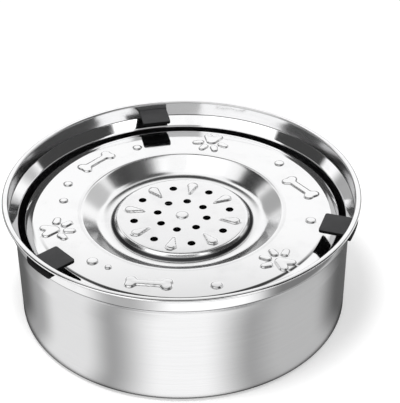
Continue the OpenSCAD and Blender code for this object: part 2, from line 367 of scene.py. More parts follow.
def steelBrushed(name, dark, light, rough, folds, anisotropy):
    # hair lines round the axis: they stretch the highlights up and down; rough is the least and the most
    mat, desk, sockets = newMaterial(name, Metallic=1.0, Anisotropic=anisotropy, Anisotropic_Rotation=0.25)
    where = desk.objectPlace()
    lines = useGroup(desk, hairLines, Place=where)
    marks = useGroup(desk, handlingMarks, Place=where, Smear=brushing["smear"])
    steel = desk.tint(lines["Line"], dark, light)
    # the fold lines darken the base colour: painted shade
    desk.wire(desk.tint(foldShadeAt(desk, where, folds), steel, brushing["foldShadeTone"]), sockets["Base Color"])
    dull = desk.math("MULTIPLY", marks["Mark"], brushing["markDull"])
    gloss = desk.blend(lines["Line"], rough[1], rough[0])
    desk.wire(desk.math("ADD", gloss, dull), sockets["Roughness"])
    desk.wire(bump(desk, lines["Height"], brushing["bump"], brushing["deep"]), sockets["Normal"])
    turnWay = desk.add("ShaderNodeTangent", direction_type="RADIAL", axis="Z")
    desk.wire(turnWay.outputs["Tangent"], sockets["Tangent"])
    return mat


def steelPolished(name, light, dark, rough, smear, folds=()):
    # mirror polish: the marks only dull it a little, and painted shade darkens the pressed outlines and the
    # folds
    mat, desk, sockets = newMaterial(name, Metallic=1.0)
    where = desk.objectPlace()
    marks = useGroup(desk, handlingMarks, Place=where, Smear=smear)
    dull = desk.math("MULTIPLY", marks["Mark"], marks["Mottle"])
    # the painted shade on the outline comes and goes along its length
    broken = desk.ease(desk.noise(where, polish["breakScale"]), polish["breakFrom"], polish["breakTo"],
                       polish["breakLeast"], polish["breakMost"])
    # the crease attribute carries the painted shade along the pressed outlines
    outline = desk.add("ShaderNodeAttribute", attribute_name="crease").outputs["Fac"]
    fold = desk.math("MAXIMUM", desk.math("MULTIPLY", outline, broken), foldShadeAt(desk, where, folds))
    steel = desk.tint(dull, light, dark)
    desk.wire(desk.tint(fold, steel, polish["foldShadeTone"]), sockets["Base Color"])
    gloss = desk.blend(dull, rough[0], rough[1])
    desk.wire(desk.blend(fold, gloss, polish["foldShadeRough"]), sockets["Roughness"])
    desk.wire(bump(desk, marks["Mottle"], polish["bump"], polish["deep"]), sockets["Normal"])
    return mat


def moulded(name, dark, light, rough, grain, depth, **fixed):
    # moulded plastic or rubber: drift of tone, stipple in gloss and relief
    mat, desk, sockets = newMaterial(name, **fixed)
    grains = useGroup(desk, mouldGrain, Place=desk.objectPlace(), Grain=grain)
    desk.wire(desk.tint(grains["Drift"], dark, light), sockets["Base Color"])
    desk.wire(desk.blend(grains["Stipple"], rough[0], rough[1]), sockets["Roughness"])
    desk.wire(bump(desk, grains["Stipple"], mouldBump, depth), sockets["Normal"])
    return mat


# painted shade lines at the folds of the hem: inside, top outer edge, lower edge
hemFoldShade = ((116.1, 87.7, 0.45), (119.40, 87.95, 0.30), (119.72, 86.25, 0.50))
# painted shade lines at the folds of the shoulder: inner crease, outer seam
seamFoldShade = ((115.75, 77.5, 0.5), (116.5, 76.8, 0.85))
# a wide soft ring of painted shade in the groove at the plateau's foot in the dish
plateauFoldShade = ((46.9, 64.0, 2.6),)

brushedSteel = steelBrushed("brushedSteel", cool(0.82, 0.825), cool(0.86, 0.865), rough=(0.21, 0.23),
                            folds=seamFoldShade, anisotropy=0.55)
collarSteel = steelBrushed("collarSteel", cool(0.92, 0.925), cool(0.96, 0.965), rough=(0.12, 0.15),
                           folds=hemFoldShade + seamFoldShade, anisotropy=0.6)
polishedSteel = steelPolished("polishedSteel", cool(0.94, 0.945), cool(0.86, 0.87), rough=(0.06, 0.14),
                              smear=80.0, folds=hemFoldShade + seamFoldShade)
# a darkened, satin copy of the polished steel for the inside below the neck: painted shade
paintedShadeSteel = steelPolished("paintedShadeSteel", cool(0.30, 0.31), cool(0.24, 0.25), rough=(0.30, 0.40), smear=80.0)
mirrorPlate = steelPolished("mirrorPlate", cool(0.93, 0.935), cool(0.88, 0.885), rough=(0.06, 0.12),
                            smear=60.0)
mirrorDish = steelPolished("mirrorDish", cool(0.93, 0.935), cool(0.88, 0.89), rough=(0.15, 0.19), smear=60.0,
                           folds=plateauFoldShade)
blackPlastic = moulded("blackPlastic", cool(0.034, 0.035), cool(0.046, 0.048), rough=(0.46, 0.60),
                       grain=2600.0, depth=0.00005, Specular_IOR_Level=0.3)
# a darker, duller copy of the black plastic for the clips' shaded faces: painted shade
paintedShadePlastic = moulded("paintedShadePlastic", cool(0.006, 0.0065), cool(0.011, 0.0115), rough=(0.60, 0.72),
                      grain=2600.0, depth=0.00005, Specular_IOR_Level=0.06)
gripRubber = moulded("gripRubber", cool(0.016, 0.017), cool(0.028, 0.030), rough=(0.62, 0.82),
                     grain=1800.0, depth=0.00008)
milkyPlastic = moulded("milkyPlastic", (0.70, 0.72, 0.74, 1), (0.78, 0.80, 0.82, 1), rough=(0.36, 0.48),
                       grain=2200.0, depth=0.00004)
sealRubber = moulded("sealRubber", cool(0.045, 0.048), cool(0.065, 0.07), rough=(0.55, 0.75),
                     grain=2000.0, depth=0.00006)
print("finishes made")


# bowl shell: one bent sheet turned round the axis, with the three clip slots cut through the collar

bowl = dict(
    sheet=0.6,
    collarMid=116.3,
    wallTop=112.4,
    wallFoot=111.8,
    wallHigh=58.8,
    wallBend=15.0,
    neckMid=110.3,
    neckHigh=70.8,
    neckBend=2.5,
    shoulderHigh=77.2,
    shoulderBend=1.5,
    mouthBend=0.9,
    hemBend=0.7,
    hemThick=2.0,
    hemReturn=117.2,
    baseCorner=2.7,
    footMid=1.1,
    panelMid=2.9,
    panelRadius=101.8,
    panelRise=1.8,
    panelBend=1.2,
    slotLow=80.5,
    slotHigh=83.7,
    slotWide=20.6,
    slotTurns=(90, 210, 330),
    slotColumns=14,
    restColumns=114,
    sharp=50,
)
# where the finishes change: shares of facing, and distances in mm from the sheet's own heights
bowlFinish = dict(upright=0.2, wallInset=2.5, wallBelow=0.9, collarBelow=0.4, hemDeep=1.2,
                  shadeLow=0.2, shadeHigh=0.5, shadeFacing=0.1, underFacing=-0.5)


def bowlSheet(b):
    # profile from the panel up the wall to the hem, revolved, with a row of quads left out at each slot
    half = b["sheet"] / 2
    hemLow = bowlHigh - b["hemThick"] + half
    low = [(0, b["panelMid"]), (b["panelRadius"] - b["panelRise"], b["panelMid"], b["panelBend"]),
           (b["panelRadius"], b["footMid"], b["panelBend"]), (b["wallFoot"], b["footMid"], b["baseCorner"]),
           (b["wallTop"], b["wallHigh"], b["wallBend"]), (b["neckMid"], b["neckHigh"], b["neckBend"]),
           (b["collarMid"], b["shoulderHigh"], b["shoulderBend"]), (b["collarMid"], b["slotLow"])]
    top = [(b["collarMid"], b["slotHigh"]), (b["collarMid"], bowlHigh - half, b["mouthBend"]),
           (rimRadius - half, bowlHigh - half, b["hemBend"]), (rimRadius - half, hemLow, b["hemBend"]),
           (b["hemReturn"], hemLow)]
    lowPath = bendPath(low, arcStep=6.0, runStep=7.0)
    topPath = bendPath(top, arcStep=8.0, runStep=4.0)
    profile = np.concatenate([lowPath, topPath])
    # columns: even steps inside each slot's width and even steps between slots
    halfTurn = np.arcsin(b["slotWide"] / 2 / b["collarMid"])
    inside = np.linspace(-halfTurn, halfTurn, b["slotColumns"], endpoint=False)
    nextSlot = 2 * np.pi / len(b["slotTurns"])
    between = np.linspace(halfTurn, nextSlot - halfTurn, b["restColumns"], endpoint=False)
    sector = np.concatenate([inside, between])
    columns = np.concatenate([np.radians(t) + sector for t in b["slotTurns"]])
    quads = gridQuads(len(profile), len(columns))
    keep = np.ones(quads.shape[:2], bool)
    inSlot = np.arange(len(columns)) % len(sector) < b["slotColumns"]
    keep[len(lowPath) - 1, inSlot] = False
    return revolve(profile, columns), quads[keep]


def finishBowl(obj, b, f):
    # brushed on the wall outside and on the collar inside, satin and darkened below the neck as painted
    # shade, else polished
    finishes = [brushedSteel, collarSteel, polishedSteel, paintedShadeSteel]
    place(obj, "bowl", "brushed_steel", finishes, "bowl_shell")
    centres, normals = faceTable(obj)
    high = centres[:, 2]
    radial = np.hypot(centres[:, 0], centres[:, 1])
    outwards = (centres[:, 0] * normals[:, 0] + centres[:, 1] * normals[:, 1]) / np.maximum(radial, 1)
    upright = (np.abs(outwards) > f["upright"]) & (radial > b["wallFoot"] - f["wallInset"])
    wall = upright & (outwards > 0) & (high < b["shoulderHigh"] - f["wallBelow"])
    collar = upright & (outwards < 0) & (high < bowlHigh - f["hemDeep"])
    collar &= high > b["shoulderHigh"] - f["collarBelow"]
    # painted shade: the darkened steel goes on the inside below the neck
    shade = (high > b["footMid"] + f["shadeLow"]) & (high < b["neckHigh"] - f["shadeHigh"])
    shade &= (outwards < f["shadeFacing"]) & (normals[:, 2] > f["underFacing"])
    finish = np.full(len(centres), finishes.index(polishedSteel))
    finish[wall] = finishes.index(brushedSteel)
    finish[collar] = finishes.index(collarSteel)
    finish[shade] = finishes.index(paintedShadeSteel)
    obj.data.polygons.foreach_set("material_index", finish.astype(np.int32))


points, quads = bowlSheet(bowl)
bowlSkin = meshObject("bowlSkin", points, quads)
thicken(bowlSkin, bowl["sheet"], bowl["sharp"])
finishBowl(bowlSkin, bowl, bowlFinish)


# base ring: a rubber band with three grip grooves, rounded at its edges

ring = dict(inner=88.5, outer=98.5, high=2.6, edge=0.35, edgePoints=5, grooves=3, pitch=2.5, groove=0.6,
            groovePoints=9, columns=240, sharp=40)


def ringLoop(d):
    # section as a closed loop: flat top, rounded edges, and half-round grooves along the underside
    quarter = np.linspace(0, np.pi / 2, d["edgePoints"])
    e = d["edge"]
    outerLow = np.stack([d["outer"] - e + e * np.sin(quarter), e - e * np.cos(quarter)], 1)
    outerTop = np.stack([d["outer"] - e + e * np.cos(quarter), d["high"] - e + e * np.sin(quarter)], 1)
    innerTop = np.stack([d["inner"] + e - e * np.sin(quarter), d["high"] - e + e * np.cos(quarter)], 1)
    innerLow = np.stack([d["inner"] + e - e * np.cos(quarter), e - e * np.sin(quarter)], 1)
    a = np.linspace(np.pi, 0, d["groovePoints"])
    groove = d["groove"] * np.stack([np.cos(a), np.sin(a)], 1)
    cuts = [groove + (d["inner"] + (i + 1) * d["pitch"], 0) for i in range(d["grooves"])]
    return np.concatenate([innerLow] + cuts + [outerLow, outerTop, innerTop])


loop = ringLoop(ring)
quads = gridQuads(len(loop), ring["columns"], True)
baseRing = meshObject("baseRing", revolve(loop, evenTurns(ring["columns"])), quads)
turnOut(baseRing)
smooth(baseRing, ring["sharp"])
place(baseRing, "bowl", "black_rubber", [gripRubber], "base_ring")


# float plate: a pressed sheet in two pieces, the flat ring with its relief and the dish with its holes

# each bubble: turn past the first bone, distance outwards from the relief's ring, share of the full size
plate = dict(
    sheet=0.5,
    topMid=72.55,
    seam=70.5,
    browAt=99.5,
    browFall=3.0,
    browBend=10.0,
    edgeBend=0.95,
    crimpMid=66.75,
    crimpLong=3.4,
    crimpBend=1.2,
    reliefHigh=0.7,
    reliefSoft=0.45,
    reliefCrown=0.05,
    crownReach=2.5,
    reliefRadius=84.9,
    reliefTurn=5.0,
    reliefInwards=12.0,
    reliefOutwards=12.2,
    boneLong=27.0,
    boneShaft=2.5,
    boneKnob=3.1,
    boneFillet=2.0,
    boneLeans=(21, 2, 7),
    boneSpread=12.6,
    knobAside=0.8,
    knobOut=0.4,
    pawShare=0.93,
    pawSpread=10.4,
    bubble=3.2,
    bubbleSpread=3.6,
    bubbles=((22.5, 3, 1.0), (97, -1, 0.9), (143, 0, 0.9), (157, -3.5, 0.83),
             (210, -2.7, 1.08), (218.5, -4.5, 0.62), (268.5, 3, 1.08), (333.5, 2.5, 1.0)),
    columns=980,
    closer=5.0,
    sumSteps=7200,
    rowStep=0.42,
    creaseShadeWide=0.3,
    sharp=60,
)
# paw at full size, outwards from its ring: lobes that meet at the heel, and the toes' turns and reaches
paw = dict(heel=(3.6, 0), heelRadius=4.2, lobeOut=9.6, lobeAside=4.2, lobeRadius=3.0, middleOut=7.6,
           middleRadius=2.0, toes=((-66, 9.2), (-22, 9.8), (22, 9.8), (66, 9.2)), toeLong=3.6,
           toeNear=2.7, toeFar=2.3)


def bar(p, a, ra, b, rb):
    # distance to a bar that tapers from radius ra at a to rb at b, negative inside
    ax = np.array(b, float) - np.array(a, float)
    px = p[..., 0] - a[0]
    py = p[..., 1] - a[1]
    t = np.clip((px * ax[0] + py * ax[1]) / max(ax @ ax, 1e-9), 0, 1)
    return np.hypot(px - t * ax[0], py - t * ax[1]) - (ra + (rb - ra) * t)


def dot(p, a, r):
    # distance to a disc of radius r at a, negative inside
    return np.hypot(p[..., 0] - a[0], p[..., 1] - a[1]) - r


def melt(a, b, fillet):
    # the nearer of two distances, with the inner corner between the two forms filled over that width
    overlap = np.maximum(fillet - np.abs(a - b), 0)
    return np.minimum(a, b) - overlap ** 2 / (4 * fillet)


def boneShape(p, d):
    # a straight shaft with two round knobs at each end
    knob = d["boneKnob"]
    reach = d["boneLong"] / 2 - knob
    shape = bar(p, (0, -reach), d["boneShaft"], (0, reach), d["boneShaft"])
    for x in (-1, 1):
        for y in (-1, 1):
            at = (x * knob * d["knobAside"], y * (reach + d["knobOut"] * knob))
            shape = melt(shape, dot(p, at, knob), d["boneFillet"])
    return shape


def pawShape(p, w):
    # a pad of three lobes towards the edge and four tapered toes towards the dish
    shape = bar(p, (w["middleOut"], 0), w["middleRadius"], w["heel"], w["heelRadius"])
    for aside in (-w["lobeAside"], w["lobeAside"]):
        lobe = bar(p, (w["lobeOut"], aside), w["lobeRadius"], w["heel"], w["heelRadius"])
        shape = np.minimum(shape, lobe)
    for turn, reach in w["toes"]:
        way = np.array([-np.cos(np.radians(turn)), np.sin(np.radians(turn))])
        near = np.array(w["heel"]) + way * reach
        shape = np.minimum(shape, bar(p, near, w["toeNear"], near + way * w["toeLong"], w["toeFar"]))
    return shape


def spun(x, y, turn, radius, lean=0.0):
    # the place seen from a motif at that turn and radius: along the radius, then along the turn,
    # both turned by the motif's lean
    c = np.cos(np.radians(turn))
    s = np.sin(np.radians(turn))
    out = x * c + y * s - radius
    along = y * c - x * s
    c = np.cos(np.radians(lean))
    s = np.sin(np.radians(lean))
    return np.stack([out * c + along * s, along * c - out * s], -1)


def pressed(distance, d):
    # height of a pressed form: a smooth step across its outline and a faint crown inside
    t = np.clip((d["reliefSoft"] - distance) / (2 * d["reliefSoft"]), 0, 1)
    crown = 1 - np.exp(np.minimum(distance, 0) / d["crownReach"])
    return d["reliefHigh"] * ((1 - d["reliefCrown"]) * t * t * (3 - 2 * t) + d["reliefCrown"] * crown)


def boneTurns(d):
    # the bones stand evenly round the ring, with a paw halfway between each two
    count = len(d["boneLeans"])
    return [(360 / count * i, 360 / count * (i + 0.5)) for i in range(count)]


def ringOutline(x, y, d):
    # bones and paws by turns, with bubbles strewn between them: distance to the nearest of them
    shape = np.full(x.shape, np.inf)
    for (boneTurn, pawTurn), lean in zip(boneTurns(d), d["boneLeans"]):
        p = spun(x, y, d["reliefTurn"] + boneTurn, d["reliefRadius"], lean)
        shape = np.minimum(shape, boneShape(p, d))
        p = spun(x, y, d["reliefTurn"] + pawTurn, d["reliefRadius"]) / d["pawShare"]
        shape = np.minimum(shape, pawShape(p, paw) * d["pawShare"])
    for turn, off, share in d["bubbles"]:
        p = spun(x, y, d["reliefTurn"] + turn, d["reliefRadius"] + off)
        shape = np.minimum(shape, dot(p, (0, 0), d["bubble"] * share))
    return shape


def closeColumns(d):
    # column angles packed closer where a motif lies: equal steps of a running sum of the wanted density
    a = np.linspace(0, 360, d["sumSteps"] + 1)
    density = np.ones(a.shape)
    spots = [(b[0], d["bubbleSpread"]) for b in d["bubbles"]]
    for boneTurn, pawTurn in boneTurns(d):
        spots += [(boneTurn, d["boneSpread"]), (pawTurn, d["pawSpread"])]
    for turn, half in spots:
        away = np.abs((a - d["reliefTurn"] - turn + 180) % 360 - 180)
        density = np.maximum(density, 1 + d["closer"] * np.clip(half + 1 - away, 0, 1))
    total = np.concatenate([[0], np.cumsum((density[1:] + density[:-1]) / 2)])
    return np.radians(np.interp(np.arange(d["columns"]) / d["columns"] * total[-1], total, a))


def plateRingSheet(d):
    # section as a closed loop: fine rows over the flat top, then the brow, the edge, the crimp
    # and back under the sheet
    edge = plateRadius - d["sheet"] / 2
    corners = [(d["seam"], d["topMid"]), (d["browAt"], d["topMid"], d["browBend"]),
               (edge, d["topMid"] - d["browFall"], d["edgeBend"]), (edge, d["crimpMid"], d["crimpBend"]),
               (edge - d["crimpLong"], d["crimpMid"])]
    middle = bendPath(corners, arcStep=15.0, runStep=60.0)
    along = np.gradient(middle, axis=0)
    half = d["sheet"] / 2 * np.stack([-along[:, 1], along[:, 0]], 1) / np.hypot(*along.T)[:, None]
    rows = np.arange(d["reliefRadius"] - d["reliefInwards"], d["reliefRadius"] + d["reliefOutwards"],
                     d["rowStep"])
    top = middle + half
    flat = np.stack([rows, 0 * rows + top[0, 1]], 1)
    loop = np.concatenate([top[:1], flat, top[1:], (middle - half)[::-1]])
    points = revolve(loop, closeColumns(d))
    raised = pressed(ringOutline(points[..., 0], points[..., 1], d), d)
    points[:len(rows) + 1, :, 2] += raised[:len(rows) + 1]
    return points, gridQuads(len(loop), d["columns"], True)


def markCreaseShade(obj, outline, d, wide):
    # point attribute of painted shade: 1 along the outline of each pressed form, gone within a hair's breadth
    # of it
    where = np.empty(len(obj.data.vertices) * 3)
    obj.data.vertices.foreach_get("co", where)
    where = where.reshape(-1, 3) / mm
    near = np.exp(-(outline(where[:, 0], where[:, 1], d) / wide) ** 2)
    mark = obj.data.attributes.new("crease", "FLOAT", "POINT")
    mark.data.foreach_set("value", near.astype(np.float32))


points, quads = plateRingSheet(plate)
plateRing = meshObject("plateRing", points, quads)
turnOut(plateRing)
smooth(plateRing, plate["sharp"])
markCreaseShade(plateRing, ringOutline, plate, plate["creaseShadeWide"])
place(plateRing, "float", "polished_steel", [mirrorPlate], "float_plate")

# rings: radii on the plateau where the rows change their spacing, from its edge to the middle
# rows: how many lie between them, outside the outer holes, between the holes and inside the inner holes
dish = dict(
    lip=68.0,
    lipBend=2.5,
    valley=55.0,
    valleyMid=62.75,
    valleyBend=12.0,
    plateauFoot=48.3,
    footBend=3.0,
    plateau=44.0,
    plateauBend=2.4,
    plateauMid=66.65,
    flatInset=4.0,
    rings=(37.4, 28.6, 20.8, 13.2, 5.2, 2.8),
    rows=((5, 8), (8, 12, 6), (6, 6, 7, 4)),
    hole=2.7,
    holesRound=8,
    holeOuter=33.0,
    holeInner=17.0,
    outerColumns=18,
    innerColumns=26,
    gapColumns=5,
    dropLong=13.0,
    dropRadius=3.4,
    dropTip=0.8,
    centreBubble=4.0,
    reliefHigh=0.7,
    reliefSoft=0.5,
    reliefCrown=0.05,
    crownReach=2.5,
    reliefInset=1.0,
)


def holeEdges(a, centre, radius):
    # where the ray at angle a from the hole's own ray enters and leaves the hole,
    # the same radius twice where it misses
    inside = np.maximum(radius ** 2 - (centre * np.sin(a)) ** 2, 0)
    touch = np.sqrt(centre ** 2 - radius ** 2)
    hit = np.abs(np.sin(a)) <= radius / centre
    near = np.where(hit, centre * np.cos(a) - np.sqrt(inside), touch)
    far = np.where(hit, centre * np.cos(a) + np.sqrt(inside), touch)
    return near, far


def dishColumns(d):
    # one share of the turn: sine-spaced over each hole so that its edge is even, plain steps between
    share = 360 / d["holesRound"]
    outer = np.degrees(np.arcsin(d["hole"] / d["holeOuter"]))
    inner = np.degrees(np.arcsin(d["hole"] / d["holeInner"]))
    quarter = np.pi / 2
    outerSpan = outer * np.sin(np.linspace(-quarter, quarter, d["outerColumns"], endpoint=False))
    innerSpan = share / 2 + inner * np.sin(np.linspace(-quarter, quarter, d["innerColumns"], endpoint=False))
    gapOne = np.linspace(outer, share / 2 - inner, d["gapColumns"], endpoint=False)
    gapTwo = np.linspace(share / 2 + inner, share - outer, d["gapColumns"], endpoint=False)
    columns = np.concatenate([outerSpan, gapOne, innerSpan, gapTwo])
    return np.radians(np.concatenate([columns + share * i for i in range(d["holesRound"])]))


def dishOutline(x, y, d):
    # a bubble in the middle and a drop between each two outer holes: distance to the nearest of them
    shape = dot(np.stack([x, y], -1), (0, 0), d["centreBubble"])
    head = (d["dropLong"] / 2 - d["dropRadius"], 0)
    tip = (d["dropTip"] - d["dropLong"] / 2, 0)
    for i in range(d["holesRound"]):
        p = spun(x, y, 360 / d["holesRound"] * (i + 0.5), d["holeOuter"])
        shape = np.minimum(shape, bar(p, head, d["dropRadius"], tip, d["dropTip"]))
    return shape


def dishSheet(d, p):
    # profile from the seam down the dish and up to the plateau, revolved, then flat rows in three bands
    # whose edges follow the two rings of holes
    columns = dishColumns(d)
    count = len(columns)
    flatEdge = d["plateau"] - d["flatInset"]
    corners = [(p["seam"], p["topMid"]), (d["lip"], p["topMid"], d["lipBend"]),
               (d["valley"], d["valleyMid"], d["valleyBend"]),
               (d["plateauFoot"], d["valleyMid"], d["footBend"]),
               (d["plateau"], d["plateauMid"], d["plateauBend"]), (flatEdge, d["plateauMid"])]
    slope = bendPath(corners, arcStep=5.0, runStep=1.6)
    share = 2 * np.pi / d["holesRound"]
    turnOuter = (columns + share / 2) % share - share / 2
    turnInner = columns % share - share / 2
    outerNear, outerFar = holeEdges(turnOuter, d["holeOuter"], d["hole"])
    innerNear, innerFar = holeEdges(turnInner, d["holeInner"], d["hole"])

    def flatRows(edges, counts):
        # radii that run evenly from edge to edge, column by column
        runs = [edges[0] + np.zeros((1, count))]
        for edge, steps in zip(edges[1:], counts):
            t = np.linspace(0, 1, steps)[1:, None]
            runs.append(runs[-1][-1:] * (1 - t) + edge * t)
        radii = np.concatenate(runs)
        return np.stack([radii * np.cos(columns), radii * np.sin(columns), 0 * radii + d["plateauMid"]], 2)

    rings = d["rings"]
    outside = flatRows((flatEdge, rings[0], outerFar), d["rows"][0])
    between = flatRows((outerNear, rings[1], rings[2], innerFar), d["rows"][1])
    inside = flatRows((innerNear, rings[3], rings[4], rings[5], 0), d["rows"][2])
    blocks = [np.concatenate([revolve(slope[:-1], columns), outside]), between, inside]
    quads = []
    base = 0
    for block in blocks:
        quads.append(gridQuads(len(block), count).reshape(-1, 4) + base)
        base += len(block) * count
    points = np.concatenate([b.reshape(-1, 3) for b in blocks])
    onTop = np.hypot(points[:, 0], points[:, 1]) < d["plateau"] - d["reliefInset"]
    points[:, 2] += pressed(dishOutline(points[:, 0], points[:, 1], d), d) * onTop
    return points, np.concatenate(quads)


points, quads = dishSheet(dish, plate)
plateDish = meshObject("plateDish", points, quads)
thicken(plateDish, plate["sheet"], plate["sharp"])
markCreaseShade(plateDish, dishOutline, dish, plate["creaseShadeWide"])
place(plateDish, "float", "polished_steel", [mirrorDish], "float_plate")


# float trough and its two seals, under the plate

trough = dict(wall=1.6, topMid=67.8, top=68.6, floorMid=44.8, outer=93.29, inner=74.2, draft=1.2,
              corner=4.0, bend=1.0, rim=3.0, flangeOuter=104.75, columns=240, sharp=50)


def troughPath(d):
    # middle line of the section: flange, outer wall, floor, inner wall and its upright rim
    corners = [(d["flangeOuter"], d["topMid"]), (d["outer"], d["topMid"], d["bend"]),
               (d["outer"] - d["draft"], d["floorMid"], d["corner"]),
               (d["inner"] + d["draft"], d["floorMid"], d["corner"]),
               (d["inner"], d["top"] - d["rim"], d["bend"]), (d["inner"], d["top"])]
    return bendPath(corners, arcStep=9.0, runStep=5.0)


path = troughPath(trough)
quads = gridQuads(len(path), trough["columns"])
floatTrough = meshObject("floatTrough", revolve(path, evenTurns(trough["columns"])), quads)
thicken(floatTrough, trough["wall"], trough["sharp"])
place(floatTrough, "float", "milky_plastic", [milkyPlastic], "float_pan")

seals = dict(low=68.6, high=72.3, wide=2.4, edge=0.5, outerAt=94.59, innerAt=73.0, loopPoints=24,
             columns=240, sharp=40)


def sealRing(name, inner, d, node):
    # a square-section ring with rounded long edges
    a = evenTurns(d["loopPoints"]) + np.pi / d["loopPoints"]
    cx = np.sign(np.cos(a)) * (d["wide"] / 2 - d["edge"]) + d["edge"] * np.cos(a)
    cz = np.sign(np.sin(a)) * ((d["high"] - d["low"]) / 2 - d["edge"]) + d["edge"] * np.sin(a)
    loop = np.stack([inner + d["wide"] / 2 + cx, (d["low"] + d["high"]) / 2 + cz], 1)
    quads = gridQuads(len(loop), d["columns"], True)
    obj = meshObject(name, revolve(loop, evenTurns(d["columns"])), quads)
    turnOut(obj)
    smooth(obj, d["sharp"])
    place(obj, "float", "seal_rubber", [sealRubber], node)


sealRing("sealOuter", seals["outerAt"], seals, "outer_seal")
sealRing("sealInner", seals["innerAt"], seals, "inner_seal")


# clips: a rounded tongue through the slot, a stop lip under its end and a curved head under the hem

clip = dict(
    tongueInner=97.0,
    tongueLow=80.8,
    tongueHigh=83.4,
    tongueWide=20.0,
    tongueCorner=1.6,
    tongueEdge=0.5,
    tongueInto=1.2,
    lipLong=2.5,
    lipDeep=0.6,
    lipInto=0.6,
    lipCorner=0.4,
    lipEdge=0.2,
    headInner=116.9,
    headOuter=119.2,
    headLow=79.0,
    headHigh=85.7,
    headWide=24.5,
    headCorner=2.5,
    headEdge=0.6,
    headBevel=1.2,
    headStep=1.5,
    topFacing=0.45,
    sharp=32,
)


def roundOutline(u0, u1, v0, v1, corner, steps=7):
    # a rectangle with round corners: points and outward normals
    a = np.linspace(0, np.pi / 2, steps)
    turns = np.concatenate([a, a + np.pi / 2, a + np.pi, a + 3 * np.pi / 2])
    normals = np.stack([np.cos(turns), np.sin(turns)], 1)
    cu = np.repeat([u1 - corner, u0 + corner, u0 + corner, u1 - corner], steps)
    cv = np.repeat([v1 - corner, v1 - corner, v0 + corner, v0 + corner], steps)
    return np.stack([cu, cv], 1) + corner * normals, normals


def slab(outline, low, high, edge, steps=6):
    # the outline lifted from low to high, its long edges rounded by a quarter turn, closed at both faces
    spots, normals = outline
    a = np.linspace(0, np.pi / 2, steps)
    inset = np.concatenate([edge - edge * np.sin(a), edge - edge * np.cos(a)])
    height = np.concatenate([low + edge - edge * np.cos(a), high - edge + edge * np.sin(a)])
    body = np.concatenate([spots[None] - inset[:, None, None] * normals[None],
                           np.repeat(height[:, None, None], len(spots), 1)], 2)
    middle = spots.mean(0)
    capLow = np.concatenate([0 * spots + middle, np.full((len(spots), 1), low)], 1)[None]
    capHigh = np.concatenate([0 * spots + middle, np.full((len(spots), 1), high)], 1)[None]
    points = np.concatenate([capLow, body, capHigh])
    return points, gridQuads(len(points), len(spots))


def subdividedOutline(outline, step):
    # long straight sides get extra points so that they can bend
    spots, normals = outline
    ends = np.roll(spots, -1, 0)
    endNormals = np.roll(normals, -1, 0)
    counts = np.maximum(1, np.ceil(np.hypot(*(ends - spots).T) / step)).astype(int)
    shares = [np.linspace(0, 1, n, endpoint=False)[:, None] for n in counts]
    where = np.concatenate([s * (1 - t) + e * t for s, e, t in zip(spots, ends, shares)])
    facing = np.concatenate([s * (1 - t) + e * t for s, e, t in zip(normals, endNormals, shares)])
    return where, facing / np.hypot(facing[:, 0], facing[:, 1])[:, None]


def clipHead(d):
    # a flat slab bent round the collar: along becomes a turn, depth the radius, and its top is bevelled
    half = d["headWide"] / 2
    face = roundOutline(-half, half, d["headLow"], d["headHigh"], d["headCorner"])
    flat, quads = slab(subdividedOutline(face, d["headStep"]), d["headInner"], d["headOuter"], d["headEdge"])
    along = flat[..., 0] / d["headOuter"]
    depth = (flat[..., 2] - d["headInner"]) / (d["headOuter"] - d["headInner"])
    radius = flat[..., 2] - np.maximum(flat[..., 1] - (d["headHigh"] - d["headBevel"]), 0) * depth
    return np.stack([radius * np.cos(along), radius * np.sin(along), flat[..., 1]], 2), quads


def clipPiece(name, turn, body, node, d):
    # tongue, lip and head in one mesh along +X, then turned to its place round the collar
    half = d["tongueWide"] / 2
    inset = d["tongueCorner"]
    lipAt = d["tongueInner"] + inset
    tongue = roundOutline(d["tongueInner"], d["headInner"] + d["tongueInto"], -half, half, d["tongueCorner"])
    lip = roundOutline(lipAt, lipAt + d["lipLong"], inset - half, half - inset, d["lipCorner"])
    parts = [slab(tongue, d["tongueLow"], d["tongueHigh"], d["tongueEdge"]),
             slab(lip, d["tongueLow"] - d["lipDeep"], d["tongueLow"] + d["lipInto"], d["lipEdge"]),
             clipHead(d)]
    points = np.concatenate([q[0].reshape(-1, 3) for q in parts])
    counts = np.cumsum([0] + [q[0].size // 3 for q in parts])
    quads = np.concatenate([q[1].reshape(-1, 4) + n for q, n in zip(parts, counts)])
    x, y, z = points.T
    c = np.cos(np.radians(turn))
    s = np.sin(np.radians(turn))
    obj = meshObject(name, np.stack([x * c - y * s, x * s + y * c, z], 1), quads)
    turnOut(obj)
    smooth(obj, d["sharp"])
    place(obj, body, "black_plastic", [blackPlastic, paintedShadePlastic], node)
    # painted shade: deeper black on the underside, the sides and the head, the faces that the light reaches
    # least
    centres, normals = faceTable(obj)
    under = normals[:, 2] < d["topFacing"]
    outside = np.hypot(centres[:, 0], centres[:, 1]) > d["headInner"]
    obj.data.polygons.foreach_set("material_index", (under | outside).astype(np.int32))


backTurn, leftTurn, rightTurn = bowl["slotTurns"]
clipPiece("clipBack", backTurn, "back_clip", "clip_back", clip)
clipPiece("clipLeft", leftTurn, "left_clip", "clip_left", clip)
clipPiece("clipRight", rightTurn, "right_clip", "clip_right", clip)


# camera, aimed near the middle of the rim, with the back clip where it stands in the picture

